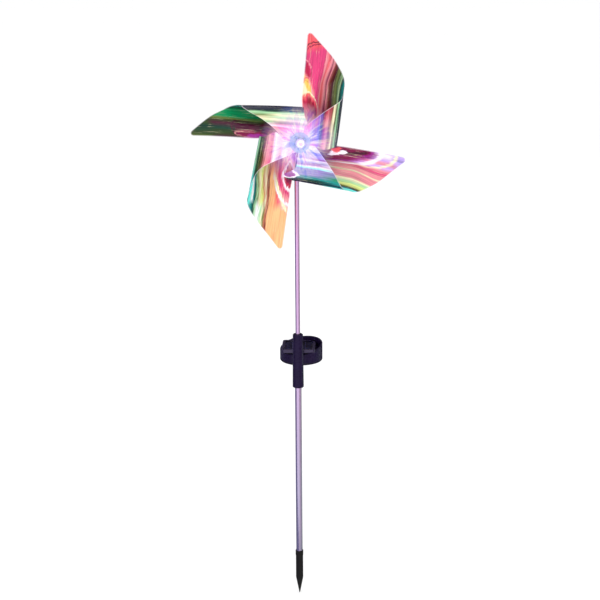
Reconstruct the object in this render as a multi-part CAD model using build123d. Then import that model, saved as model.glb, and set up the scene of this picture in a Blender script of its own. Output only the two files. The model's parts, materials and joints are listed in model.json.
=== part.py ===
from build123d import *
import os
from math import asin, atan2, degrees, hypot, pi, sin, sqrt

# Solar pinwheel garden light.
# Millimetres. The origin is the tip of the ground spike, +Z is up along the pole, and the
# pinwheel faces -Y. The rotor turns about a line through the head, parallel to Y.

# ---- driving dimensions: pole, spike and coupler sleeve ----
SPIKE_CONE_Z = 23.0          # height of the cone at the spike's tip
SPIKE_TOP_Z = 62.3
SPIKE_R = 4.9
SPIKE_COLLAR_R = 5.2
SPIKE_COLLAR_L = 8.0
SPIKE_COLLAR_SLOPE = 2.0
SPIKE_TIP_R = 0.5
LOWER_TUBE_R = 4.25
LOWER_TUBE_BORE_R = 3.65
LOWER_TUBE_Z = (37.3, 325.0)
PUSH_GAP = 0.05              # radial gap of a push-in or running fit
SLEEVE_Z = (294.8, 366.6)
SLEEVE_R = (7.3, 6.65)       # at the bottom and at the top
SLEEVE_EDGE = 0.6            # slope on the sleeve's outer edges
SLEEVE_WEB_Z = (325.0, 335.0)
SLEEVE_MOUTH_Z = 362.0
SLEEVE_MOUTH_R = 4.6
UPPER_TUBE_R = 3.0
UPPER_TUBE_BORE_R = 2.5
UPPER_TUBE_Z = (335.2, 612.0)

# ---- driving dimensions: solar case, in a frame turned about the pole ----
CASE_TURN = -8.0             # degrees about +Z
CUP_X, CUP_Y = 3.0, 38.0     # centre of the round cup
CUP_R = 28.0
CUP_WALL = 2.0
CUP_Z = 320.0
BASE_T = 2.0
BASE_EDGE_R = 1.8
SPIGOT_L = 2.0               # ring on the base that centres it in the cup
SPIGOT_GAP = 0.2
SEAL_T = 0.8
SEAL_R = (26.4, 27.5)
DECK_Z = 333.9
DECK_T = 1.6
DECK_HOLE = 30.0
RIM_MID_Z = 338.4            # height of the slanting rim above the cup's centre
RIM_SLOPE_X = 0.143
RIM_SLOPE_Y = 0.171
RIM_TOP_Z = 348.0
NECK_W = 12.0
LEAD_Z = 330.0               # height at which the lead enters the sleeve
LEAD_HOLE_R = 2.0
SCREW_PCR = 22.6             # radius of the circle of base screws
SCREW_ANGLES = (0.0, 120.0, 228.0)
SCREW_R = 1.2
SCREW_HEAD_R = 2.2
SCREW_HEAD_T = 1.2
SCREW_SHORT = 2.0            # how far each screw ends below the end of its hole
DRIVE_SLOT = (2.6, 0.6, 0.6) # length, width and depth of each drive slot
BOSS_R = 3.0

# ---- driving dimensions: panel ----
PANEL_Y = 37.0
PANEL_W = 44.0
PANEL_Z = 336.0
PANEL_T = 4.3
PANEL_CORNER_R = 4.0
PANEL_EDGE = 0.5
PANEL_SKIRT_W = 34.0
PANEL_SKIRT_T = 1.5
PANEL_WELL_W = 36.0
PANEL_WELL_CORNER_R = 3.0
PANEL_FLOOR_T = 1.2
CELL_W = 34.0
CELL_T = 0.8
BUSBAR_W = 1.0
BUSBAR_T = 0.15
BUSBAR_INSET = 1.0
WINDOW_T = 1.4
WINDOW_SUNK = 0.3
SENSOR_R = 1.2
SENSOR_DEPTH = 1.0
SENSOR_AT = 18.9             # distance of the light sensor from the panel's middle, in X and Y

# ---- driving dimensions: what the case holds ----
BOARD_W, BOARD_L, BOARD_T = 16.0, 14.0, 1.2
BOARD_Y = 22.5
BOARD_Z = 325.0
BOARD_CORNER_R = 1.0
PEG_R = 1.6
PEG_INSET = 2.0
CHIP_X, COIL_X = -4.5, 4.5
PARTS_Y = 24.5               # row of parts on the board
CHIP_SIZE = (4.0, 5.0, 1.6)
CHIP_STAND = 0.2
CHIP_LEG = (6.0, 0.5, 0.5)   # span, width and thickness of a pair of legs
CHIP_PITCH = 1.6
COIL_R, COIL_WAIST_R = 2.2, 1.6
COIL_L, COIL_RIM, COIL_SLOPE = 4.1, 0.8, 0.3
CELL_R, CELL_L = 5.25, 28.5
BATTERY_Y = 38.5
BATTERY_Z = 328.6
CELL_EDGE_R = 0.5
NUB_R, NUB_L = 1.9, 0.9
HOLDER_W, HOLDER_L = 13.0, 36.0
HOLDER_WALL = 1.2
HOLDER_GAP = 0.1
CONTACT_R, CONTACT_T = 4.0, 0.4
SPRING_WIRE_R = 0.3
SPRING_R = 2.6
SPRING_TURNS = 3
BUTTON_X, BUTTON_Y = 3.0, 54.0
BUTTON_R = 2.3
BUTTON_OUT = 1.4             # how far the button stands below the base
BUTTON_GAP = 0.3
BUTTON_EDGE = 0.5
BUTTON_COLLAR = 0.8          # width and thickness of the collar that keeps it in the base
BUTTON_STEM_R = 1.4
BUTTON_STEM_IN = 1.6         # how far the stem stands in the switch
SWITCH_W = 9.4
SWITCH_Z = (324.6, 330.6)
SWITCH_CORNER_R = 0.6
SWITCH_FOOT = 1.2
SWITCH_WELL_R, SWITCH_WELL_L = 1.8, 4.0
LEAD_R = 1.0
LEAD_SPLIT_Z = 340.0
LEAD_START_Y = 19.5          # where the lead leaves the board
CASE_LEAD_BEND_R = 3.6

# ---- driving dimensions: head and axle ----
HUB_Z = 622.0
HEAD_SOCKET_R = 5.5
HEAD_SOCKET_Z = 596.0
HEAD_R = 7.5
HEAD_Y = (8.0, -22.0)
HEAD_LEAD_BORE_R = 2.2
REAR_CAP = ((0.0, 2.2), (4.0, 2.0), (6.6, 1.2))   # radius and height of the cap's dome
REAR_PLUG_L = 1.5
CHAMBER_R = 5.0
CHAMBER_Y = -8.0
LEAD_BEND_R = 6.0
AXLE_R = 3.0
AXLE_BORE_R = 2.0
WASHER_R = 4.6
WASHER_T = 0.9
END_GAP = 0.3                # end float on each side of the rotor sleeve
SLEEVE_Y = (-23.2, -40.8)
ROTOR_SLEEVE_R = 5.0
BUSH_R = 4.0
BUSH_L = 5.0
COLLAR_R = 5.8
COLLAR_T = 2.1
LED_BOARD_R = 4.6
LED_BOARD_T = 1.0
LED_R = 1.1
LED_L = 2.4
LED_RING_R = 2.5
CAP_SKIRT_L = 2.6
CAP_L = 7.0
CAP_WALL = 0.8

# ---- driving dimensions: film blades ----
BLADE_L = 139.0              # from the axis to the sharp corner of the flat film
CURL_L = 122.0               # film length that is curled, from the back of the hub to the front
CURL_R = 15.0
CURL_Y = -26.0               # depth of the curl's centre, behind the middle of the two hub faces
FILM_T = 0.4
FILM_BACK_Y = -26.2
FILM_FRONT_Y = -37.8
HUB_FLAT = 12.8
HUB_BEND_R = 5.0
TIP_R = 3.0
BLADE_GAP = 0.15
REST_TURN = 8.5              # degrees by which the pinwheel stands turned, clockwise from the front
PLATE_R = 12.5
PLATE_T = 2.0
PIN_AT = 5.5                 # distance of each pin from a blade's two cut edges
PIN_R = 0.8
PIN_HEAD_R = 1.6
PIN_HEAD_T = 0.6
CURL_STEPS = 8               # points that set out the cut edge round the curl
CURL_MARGIN = 1.0            # how far the cutting outline runs past the curl
EXACT = 1e-9                 # how closely the two sides of a blade must agree in film length
BLADE_NAMES = ("blade_top", "blade_right", "blade_bottom", "blade_left")


# ---- helpers ----
def rod(radius, z_low, z_high):
    """Upright cylinder on the Z axis between two heights."""
    return Pos(0, 0, z_low) * Cylinder(radius, z_high - z_low, align=(Align.CENTER, Align.CENTER, Align.MIN))


def pipe(outer, inner, z_low, z_high):
    """Upright tube on the Z axis between two heights."""
    return rod(outer, z_low, z_high) - rod(inner, z_low, z_high)


def slab(width, length, z_low, z_high, corner=0.0):
    """Upright block centred on the Z axis, with rounded upright corners where corner isn't 0."""
    outline = RectangleRounded(width, length, corner) if corner else Rectangle(width, length)
    return Pos(0, 0, z_low) * extrude(outline, z_high - z_low)


def turned(points):
    """Solid of revolution about Z from a list of (radius, height) corners."""
    return revolve(Plane.XZ * make_face(Polyline(points, close=True)), Axis.Z)


def along_axle(shape):
    """Place a shape that was built along +Z on the rotor's axis, with +Z turned to -Y."""
    return Pos(0, 0, HUB_Z) * Rot(X=90) * shape


def in_case(shape):
    """Place a shape that was built in the case's own frame."""
    return Rot(Z=CASE_TURN) * shape


def tube_along(points, bend, radius):
    """Round lead along straight runs joined by arcs of one bend radius."""
    path = FilletPolyline(*points, radius=bend)
    start = Plane(origin=path @ 0, z_dir=path % 0)
    return sweep(start * Circle(radius), path)


# ---- pole ----
def ground_spike():
    socket_r = LOWER_TUBE_R + PUSH_GAP
    collar_low = SPIKE_TOP_Z - SPIKE_COLLAR_L
    outline = [
        (0, 0), (SPIKE_TIP_R, 0), (SPIKE_R, SPIKE_CONE_Z), (SPIKE_R, collar_low),
        (SPIKE_COLLAR_R, collar_low + SPIKE_COLLAR_SLOPE), (SPIKE_COLLAR_R, SPIKE_TOP_Z),
        (socket_r, SPIKE_TOP_Z), (socket_r, LOWER_TUBE_Z[0]), (0, LOWER_TUBE_Z[0]),
    ]
    return turned(outline)


def sleeve_blank():
    """Outer shape of the coupler sleeve, which tapers upward."""
    bottom, top = SLEEVE_Z
    return turned([
        (0, bottom), (SLEEVE_R[0] - SLEEVE_EDGE, bottom), (SLEEVE_R[0], bottom + SLEEVE_EDGE),
        (SLEEVE_R[1], top - SLEEVE_EDGE), (SLEEVE_R[1] - SLEEVE_EDGE, top), (0, top),
    ])


def sleeve_bores():
    lower = rod(LOWER_TUBE_R + PUSH_GAP, SLEEVE_Z[0] - 1, SLEEVE_WEB_Z[0])
    upper = rod(UPPER_TUBE_R + PUSH_GAP, SLEEVE_WEB_Z[1], SLEEVE_Z[1] + 1)
    mouth = rod(SLEEVE_MOUTH_R, SLEEVE_MOUTH_Z, SLEEVE_Z[1] + 1)
    lead_up = rod(LEAD_HOLE_R, LEAD_Z, SLEEVE_WEB_Z[1])
    return [lower, upper, mouth, lead_up]


# ---- solar case ----
def screw_places():
    return [Pos(CUP_X, CUP_Y, 0) * Rot(Z=a) * Pos(SCREW_PCR, 0, 0) for a in SCREW_ANGLES]


def rim_cutter():
    """Everything above the slanting rim of the cup, down to the deck."""
    tilt = Plane(
        origin=(CUP_X, CUP_Y, RIM_MID_Z),
        x_dir=(1, 0, RIM_SLOPE_X),
        z_dir=(-RIM_SLOPE_X, -RIM_SLOPE_Y, 1),
    )
    above_rim = tilt * extrude(Rectangle(4 * CUP_R, 4 * CUP_R), 2 * CUP_R)
    above_deck = Pos(CUP_X, CUP_Y, 0) * rod(2 * CUP_R, DECK_Z, RIM_TOP_Z + CUP_R)
    return above_rim & above_deck


def case_cup():
    """The cup with its deck, its slanting rim and the seat of the panel."""
    wall_low = CUP_Z + BASE_T + SEAL_T
    cup = rod(CUP_R, wall_low, RIM_TOP_Z)
    cup -= rod(CUP_R - CUP_WALL, wall_low, DECK_Z - DECK_T)
    cup -= rod(CUP_R - CUP_WALL, DECK_Z, RIM_TOP_Z)
    cup = Pos(CUP_X, CUP_Y, 0) * cup - rim_cutter()
    cup -= Pos(0, PANEL_Y, 0) * slab(DECK_HOLE, DECK_HOLE, DECK_Z - DECK_T, DECK_Z)
    clearance = PANEL_W + 2 * BUTTON_GAP
    cup -= Pos(0, PANEL_Y, 0) * slab(clearance, clearance, PANEL_Z, RIM_TOP_Z, PANEL_CORNER_R)
    for place in screw_places():
        cup += place * rod(BOSS_R, CUP_Z + BASE_T, DECK_Z - DECK_T)
        cup -= place * rod(SCREW_R, CUP_Z + BASE_T, DECK_Z - 2 * DECK_T)
    return cup


def solar_housing():
    """Sleeve, neck and cup: one black moulding."""
    front = CUP_Y - CUP_R + CUP_WALL / 2
    neck_low = CUP_Z + BASE_T + SEAL_T
    neck = Pos(0, front / 2, 0) * slab(NECK_W, front, neck_low, DECK_Z)
    lead_hole = Pos(0, 0, LEAD_Z) * Rot(X=-90) * rod(LEAD_HOLE_R, 0, CUP_Y - CUP_R + 2 * CUP_WALL)
    body = sleeve_blank() + in_case(neck) + in_case(case_cup())
    for hole in sleeve_bores():
        body -= hole
    return body - in_case(lead_hole)


def button_hole(radius, z_low, z_high):
    return Pos(BUTTON_X, BUTTON_Y, 0) * rod(radius, z_low, z_high)


def case_base():
    """Round cover under the case, with board pegs, screw holes and the button's hole."""
    top = CUP_Z + BASE_T
    plate = rod(CUP_R, CUP_Z, top)
    plate = fillet(plate.edges().sort_by(Axis.Z)[0], BASE_EDGE_R)
    spigot_top = top + SPIGOT_L
    spigot = pipe(CUP_R - CUP_WALL - SPIGOT_GAP, CUP_R - 2 * CUP_WALL, top, spigot_top)
    cover = Pos(CUP_X, CUP_Y, 0) * (plate + spigot)
    for side in (-1, 1):
        cover += Pos(side * (BOARD_W / 2 - PEG_INSET), BOARD_Y, 0) * rod(PEG_R, top, BOARD_Z)
    for place in screw_places():
        cover -= place * rod(SCREW_R, CUP_Z, spigot_top)
        cover -= place * rod(SCREW_HEAD_R, CUP_Z, CUP_Z + SCREW_HEAD_T)
        cover -= place * rod(BOSS_R, top, spigot_top)
    return in_case(cover - button_hole(BUTTON_R + BUTTON_GAP, CUP_Z, top))


def case_seal():
    seal_z = CUP_Z + BASE_T
    return in_case(Pos(CUP_X, CUP_Y, 0) * pipe(SEAL_R[1], SEAL_R[0], seal_z, seal_z + SEAL_T))


def case_screws():
    """Three alike screws from below, each with a crossed drive slot."""
    shank_top = DECK_Z - 2 * DECK_T - SCREW_SHORT
    length, width, depth = DRIVE_SLOT
    screws = []
    for place in screw_places():
        screw = rod(SCREW_HEAD_R, CUP_Z, CUP_Z + SCREW_HEAD_T) + rod(SCREW_R, CUP_Z, shank_top)
        for quarter in (0, 90):
            screw -= Rot(Z=quarter) * slab(length, width, CUP_Z, CUP_Z + depth)
        screws.append(in_case(place * screw))
    return Compound(screws)


# ---- panel ----
def panel_place(shape):
    return in_case(Pos(0, PANEL_Y, 0) * shape)


def sensor_hole(z_low, z_high):
    return Pos(SENSOR_AT, SENSOR_AT, 0) * rod(SENSOR_R, z_low, z_high)


def panel_frame():
    """Square frame with a skirt that stands on the deck and a well for the cell."""
    top = PANEL_Z + PANEL_T
    plate = slab(PANEL_W, PANEL_W, PANEL_Z, top, PANEL_CORNER_R)
    plate = chamfer(plate.faces().sort_by(Axis.Z)[-1].edges(), PANEL_EDGE)
    inner_w = PANEL_SKIRT_W - 2 * PANEL_SKIRT_T
    skirt = slab(PANEL_SKIRT_W, PANEL_SKIRT_W, DECK_Z, PANEL_Z) - slab(inner_w, inner_w, DECK_Z, PANEL_Z)
    well = slab(PANEL_WELL_W, PANEL_WELL_W, PANEL_Z + PANEL_FLOOR_T, top, PANEL_WELL_CORNER_R)
    frame = plate + skirt - well - sensor_hole(top - SENSOR_DEPTH, top)
    return panel_place(frame)


def solar_cell():
    low = PANEL_Z + PANEL_FLOOR_T
    return panel_place(slab(CELL_W, CELL_W, low, low + CELL_T))


def cell_busbars():
    """Two printed collector strips on the cell."""
    low = PANEL_Z + PANEL_FLOOR_T + CELL_T
    strip = slab(BUSBAR_W, CELL_W - 2 * BUSBAR_INSET, low, low + BUSBAR_T)
    return Compound([panel_place(Pos(side * CELL_W / 4, 0, 0) * strip) for side in (-1, 1)])


def panel_window():
    top = PANEL_Z + PANEL_T - WINDOW_SUNK
    return panel_place(slab(PANEL_WELL_W, PANEL_WELL_W, top - WINDOW_T, top, PANEL_WELL_CORNER_R))


def light_sensor():
    """Small clear lens that sits in the corner of the panel frame."""
    top = PANEL_Z + PANEL_T
    lens = sensor_hole(top - SENSOR_DEPTH, top) + Pos(SENSOR_AT, SENSOR_AT, top) * (
        Sphere(SENSOR_R) & rod(2 * SENSOR_R, 0, SENSOR_R))
    return panel_place(lens)


# ---- inside the case ----
def circuit_board():
    board = slab(BOARD_W, BOARD_L, BOARD_Z, BOARD_Z + BOARD_T, BOARD_CORNER_R)
    return in_case(Pos(0, BOARD_Y, 0) * board)


def control_chip():
    """Small chip with three pairs of legs."""
    top = BOARD_Z + BOARD_T
    width, length, height = CHIP_SIZE
    span, leg_w, leg_t = CHIP_LEG
    chip = slab(width, length, top + CHIP_STAND, top + CHIP_STAND + height)
    for row in (-1, 0, 1):
        chip += Pos(0, row * CHIP_PITCH, 0) * slab(span, leg_w, top, top + leg_t)
    return in_case(Pos(CHIP_X, PARTS_Y, 0) * chip)


def inductor():
    """Small upright coil former with a waist."""
    low = BOARD_Z + BOARD_T
    top = low + COIL_L
    shape = turned([
        (0, low), (COIL_R, low), (COIL_R, low + COIL_RIM), (COIL_WAIST_R, low + COIL_RIM + COIL_SLOPE),
        (COIL_WAIST_R, top - COIL_RIM - COIL_SLOPE), (COIL_R, top - COIL_RIM), (COIL_R, top), (0, top),
    ])
    return in_case(Pos(COIL_X, PARTS_Y, 0) * shape)


def battery_place(shape):
    """Lay a shape built along Z, centred on the origin, on the battery's axis."""
    return in_case(Pos(0, BATTERY_Y, BATTERY_Z) * Rot(Y=90) * shape)


def rechargeable_cell():
    """Round cell with a small nub on one end."""
    can = fillet(rod(CELL_R, -CELL_L / 2, CELL_L / 2 - NUB_L).edges(), CELL_EDGE_R)
    return battery_place(can + rod(NUB_R, CELL_L / 2 - NUB_L, CELL_L / 2))


def battery_holder():
    """Open cradle for the cell, standing on the base."""
    low = CUP_Z + BASE_T
    tray = Pos(0, BATTERY_Y, 0) * slab(HOLDER_L, HOLDER_W, low, BATTERY_Z, BOARD_CORNER_R)
    room_end = HOLDER_L / 2 - HOLDER_WALL
    return in_case(tray) - battery_place(rod(CELL_R + HOLDER_GAP, -room_end, room_end))


def battery_contact():
    """Flat plate that the cell's nub rests on."""
    return battery_place(rod(CONTACT_R, CELL_L / 2, CELL_L / 2 + CONTACT_T))


def battery_spring():
    """Coil spring that pushes on the flat end of the cell."""
    room = HOLDER_L / 2 - HOLDER_WALL - CELL_L / 2
    height = room - 2 * SPRING_WIRE_R
    coil = Helix(pitch=height / SPRING_TURNS, height=height, radius=SPRING_R)
    wire = sweep(Plane(origin=coil @ 0, z_dir=coil % 0) * Circle(SPRING_WIRE_R), coil, is_frenet=True)
    return battery_place(Pos(0, 0, -CELL_L / 2 - room + SPRING_WIRE_R) * wire)


def switch_body():
    """Push switch above the button, standing on two feet."""
    low, high = SWITCH_Z
    body = slab(SWITCH_W, SWITCH_W, low, high, SWITCH_CORNER_R)
    foot = slab(SWITCH_FOOT, SWITCH_W - 2 * SWITCH_FOOT, CUP_Z + BASE_T, low)
    for side in (-1, 1):
        body += Pos(side * (SWITCH_W - SWITCH_FOOT) / 2, 0, 0) * foot
    body -= rod(SWITCH_WELL_R, low, low + SWITCH_WELL_L)
    return in_case(Pos(BUTTON_X, BUTTON_Y, 0) * body)


def switch_button():
    """Button with a collar that keeps it in the base and a stem into the switch."""
    low = CUP_Z - BUTTON_OUT
    collar_low = CUP_Z + BASE_T + BUTTON_GAP
    collar_r, collar_top = BUTTON_R + BUTTON_COLLAR, collar_low + BUTTON_COLLAR
    stem_top = SWITCH_Z[0] + BUTTON_STEM_IN
    shape = turned([
        (0, low), (BUTTON_R - BUTTON_EDGE, low), (BUTTON_R, low + BUTTON_EDGE),
        (BUTTON_R, collar_low), (collar_r, collar_low), (collar_r, collar_top),
        (BUTTON_STEM_R, collar_top), (BUTTON_STEM_R, stem_top), (0, stem_top),
    ])
    return in_case(Pos(BUTTON_X, BUTTON_Y, 0) * shape)


def lower_lead():
    """From the board through the neck to the pole's axis, then up to the split."""
    points = [
        (0, LEAD_START_Y, BOARD_Z + BOARD_T), (0, LEAD_START_Y, LEAD_Z),
        (0, 0, LEAD_Z), (0, 0, LEAD_SPLIT_Z),
    ]
    return in_case(tube_along(points, CASE_LEAD_BEND_R, LEAD_R))


# ---- head ----
def head_body():
    """Socket on the pole's top with a boss across it, hollow for the lead."""
    boss = along_axle(rod(HEAD_R, -HEAD_Y[0], -HEAD_Y[1]))
    socket = rod(HEAD_SOCKET_R, HEAD_SOCKET_Z, HUB_Z)
    body = boss + socket
    body -= rod(UPPER_TUBE_R, HEAD_SOCKET_Z, UPPER_TUBE_Z[1])
    body -= rod(HEAD_LEAD_BORE_R, UPPER_TUBE_Z[1], HUB_Z)
    body -= along_axle(rod(CHAMBER_R, -HEAD_Y[0], -CHAMBER_Y))
    return body - along_axle(rod(AXLE_R, -CHAMBER_Y, -HEAD_Y[1]))


def head_rear_cap():
    """Domed cap that plugs the back of the head."""
    rear = -HEAD_Y[0]
    dome = [(radius, rear - height) for radius, height in REAR_CAP]
    plug = [(CHAMBER_R, rear), (CHAMBER_R, rear + REAR_PLUG_L), (0, rear + REAR_PLUG_L)]
    return along_axle(turned([*dome, (HEAD_R, rear), *plug]))


def axle_end():
    return -SLEEVE_Y[1] + END_GAP + WASHER_T + COLLAR_T


def axle_tube():
    return along_axle(pipe(AXLE_R, AXLE_BORE_R, -CHAMBER_Y, axle_end()))


def washer(low):
    return along_axle(pipe(WASHER_R, AXLE_R, low, low + WASHER_T))


def axle_collar():
    return along_axle(pipe(COLLAR_R, AXLE_R, axle_end() - COLLAR_T, axle_end()))


def led_board():
    return along_axle(rod(LED_BOARD_R, axle_end(), axle_end() + LED_BOARD_T))


def leds():
    """Three small domed light-emitting diodes around the axis."""
    low = axle_end() + LED_BOARD_T
    diode = rod(LED_R, low, low + LED_L - LED_R) + Pos(0, 0, low + LED_L - LED_R) * Sphere(LED_R)
    ring = [Rot(Z=a) * Pos(LED_RING_R, 0, 0) * diode for a in (90, 210, 330)]
    return Compound([along_axle(one) for one in ring])


def cap_solid(radius, length):
    """Short round skirt closed by a dome."""
    dome = length - CAP_SKIRT_L
    sphere_r = (radius ** 2 + dome ** 2) / (2 * dome)
    ball = Pos(0, 0, length - sphere_r) * Sphere(sphere_r)
    return rod(radius, 0, CAP_SKIRT_L) + (ball & rod(radius, CAP_SKIRT_L, length))


def light_cap():
    shell = cap_solid(COLLAR_R, CAP_L) - cap_solid(COLLAR_R - CAP_WALL, CAP_L - CAP_WALL)
    return along_axle(Pos(0, 0, axle_end()) * shell)


def upper_lead():
    """From the split up the pole, round into the axle and on to the light board."""
    points = [(0, 0, LEAD_SPLIT_Z), (0, 0, HUB_Z), (0, -axle_end(), HUB_Z)]
    return tube_along(points, LEAD_BEND_R, LEAD_R)


# ---- rotor ----
def at_rest(shape, quarter=0):
    """Turn a shape built upright on the axle to its place in the resting pinwheel."""
    turn = REST_TURN + 90 * quarter
    return Pos(0, 0, HUB_Z) * Rot(Y=turn) * shape


def rotor_sleeve():
    return along_axle(pipe(ROTOR_SLEEVE_R, BUSH_R, -SLEEVE_Y[0], -SLEEVE_Y[1]))


def bush(low):
    return along_axle(pipe(BUSH_R, AXLE_R + PUSH_GAP, low, low + BUSH_L))


def pin_places(y):
    """Where a pin goes through each of the four blades, at one depth."""
    return [Rot(Y=90 * k) * Pos(PIN_AT, y, PIN_AT) * Rot(X=90) for k in range(4)]


def hub_plate(film_y, outward):
    """Round plate that clamps the film on one side, with a hole for each pin."""
    face = film_y + outward * FILM_T / 2
    low = min(-face, -face - outward * PLATE_T)
    plate = Rot(X=90) * pipe(PLATE_R, ROTOR_SLEEVE_R, low, low + PLATE_T)
    for place in pin_places(0):
        plate -= place * rod(PIN_R, low, low + PLATE_T)
    return at_rest(plate)


def pins(film_y, outward):
    """Riveted pins through one plate and the film beside it."""
    start = -(film_y - outward * FILM_T / 2)
    length = FILM_T + PLATE_T
    sign = -outward
    group = []
    for place in pin_places(-start):
        low, high = sorted((0, sign * length))
        pin = rod(PIN_R, low, high) + rod(PIN_HEAD_R, high, high + PIN_HEAD_T)
        pin += rod(PIN_HEAD_R, low - PIN_HEAD_T, low)
        group.append(at_rest(place * pin))
    return Compound(group)


# ---- film blades ----
MID_Y = (FILM_BACK_Y + FILM_FRONT_Y) / 2


def leg_to_curl(curl_x, depth):
    """Angle (radians) and length of the straight film between a hub bend and the curl.

    depth is how far the curl's centre lies outward of the hub flat: it is negative where the
    curl lies mostly on the other side.
    """
    across, out = curl_x - HUB_FLAT, depth - HUB_BEND_R
    apart = hypot(across, out)
    radii = CURL_R + HUB_BEND_R
    return atan2(out, across) + asin(radii / apart), sqrt(apart ** 2 - radii ** 2)


BACK_DEPTH = CURL_Y - FILM_BACK_Y
FRONT_DEPTH = FILM_FRONT_Y - CURL_Y


def side_length(curl_x, depth):
    """Film from the hub's axis to the curl's outermost line, on one side."""
    bend, leg = leg_to_curl(curl_x, depth)
    return HUB_FLAT + HUB_BEND_R * bend + leg + CURL_R * (bend + pi / 2)


def solve_curl_x():
    """Distance of the curl's centre from the axis that uses up the film's length."""
    low, high = 1.5 * HUB_FLAT + CURL_R, 4 * CURL_R
    while high - low > EXACT:
        middle = (low + high) / 2
        if side_length(middle, BACK_DEPTH) + side_length(middle, FRONT_DEPTH) < CURL_L:
            low = middle
        else:
            high = middle
    return low


CURL_X = solve_curl_x()


def onward(edge, length):
    """Straight run that carries on from an edge's end."""
    return Line(edge @ 1, (edge @ 1) + (edge % 1) * length)


def profile(offset):
    """The curl in plan, moved outward by offset, from the back of the hub to its front."""
    back_bend, back_leg = leg_to_curl(CURL_X, BACK_DEPTH)
    front_bend, front_leg = leg_to_curl(CURL_X, FRONT_DEPTH)
    bend_r = HUB_BEND_R - offset
    hub_back = Line((0, FILM_BACK_Y + offset), (HUB_FLAT, FILM_BACK_Y + offset))
    turn_back = JernArc(hub_back @ 1, hub_back % 1, bend_r, degrees(back_bend))
    leg_back = onward(turn_back, back_leg)
    curl = JernArc(leg_back @ 1, leg_back % 1, CURL_R + offset, -180 - degrees(back_bend + front_bend))
    leg_front = onward(curl, front_leg)
    turn_front = JernArc(leg_front @ 1, leg_front % 1, bend_r, degrees(front_bend))
    return [hub_back, turn_back, leg_back, curl, leg_front, turn_front, onward(turn_front, HUB_FLAT)]


def uncut_film():
    """The curled film as a plain strip of the blade's full height."""
    outer, inner = profile(FILM_T / 2), profile(-FILM_T / 2)
    ends = [Line(outer[0] @ 0, inner[0] @ 0), Line(outer[-1] @ 1, inner[-1] @ 1)]
    return extrude(make_face(outer + inner + ends), BLADE_L)


def edge_path(depth, height):
    """Outline of the cut film seen from the front; height gives Z from the film length used."""
    bend, leg = leg_to_curl(CURL_X, depth)
    leg_x = HUB_FLAT + HUB_BEND_R * sin(bend)
    leg_u = HUB_FLAT + HUB_BEND_R * bend
    turn = [(HUB_FLAT + HUB_BEND_R * sin(a), height(HUB_FLAT + HUB_BEND_R * a)) for a in (0, bend / 2, bend)]
    curl = []
    for k in range(CURL_STEPS + 1):
        a = (bend + pi / 2) * k / CURL_STEPS
        curl.append((CURL_X + CURL_R * sin(a - bend), height(leg_u + leg + CURL_R * a)))
    side = (CURL_X + CURL_R + CURL_MARGIN, curl[-1][1])
    return [Line((0, height(0)), turn[0]), Spline(turn), Line((leg_x, height(leg_u)), curl[0]), Spline(curl),
            Line(curl[-1], side), Line(side, (side[0], 0)), Line((side[0], 0), (0, 0)),
            Line((0, 0), (0, height(0)))]


def waste(depth_side, height, round_tip, direction):
    """What is cut from the strip on one side of the curl: all that lies above the film's outline."""
    outline = make_face(edge_path(depth_side, height))
    if round_tip:
        outline = fillet(outline.vertices().sort_by(Axis.Y)[-1], TIP_R)
    around = Pos(CURL_X, BLADE_L / 2) * Rectangle(4 * CURL_X, 2 * BLADE_L)
    return Pos(0, CURL_Y, 0) * extrude(Plane.XZ * (around - outline), -direction * 3 * CURL_R)


def blade():
    """One curled film, built in the quarter between +Z and +X."""
    film = uncut_film()
    film -= waste(BACK_DEPTH, lambda u: BLADE_L - u, True, 1)
    film -= waste(FRONT_DEPTH, lambda u: BLADE_L - CURL_L + u, False, -1)
    keep = Pos(BLADE_GAP, MID_Y, BLADE_GAP) * Box(
        2 * BLADE_L, 4 * CURL_R, 2 * BLADE_L, align=(Align.MIN, Align.CENTER, Align.MIN))
    film &= keep
    film -= Rot(X=90) * rod(ROTOR_SLEEVE_R + 2 * BLADE_GAP, 0, -2 * MID_Y)
    return film - pin_places(0)[0] * rod(PIN_R, 0, -2 * MID_Y)


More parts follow.
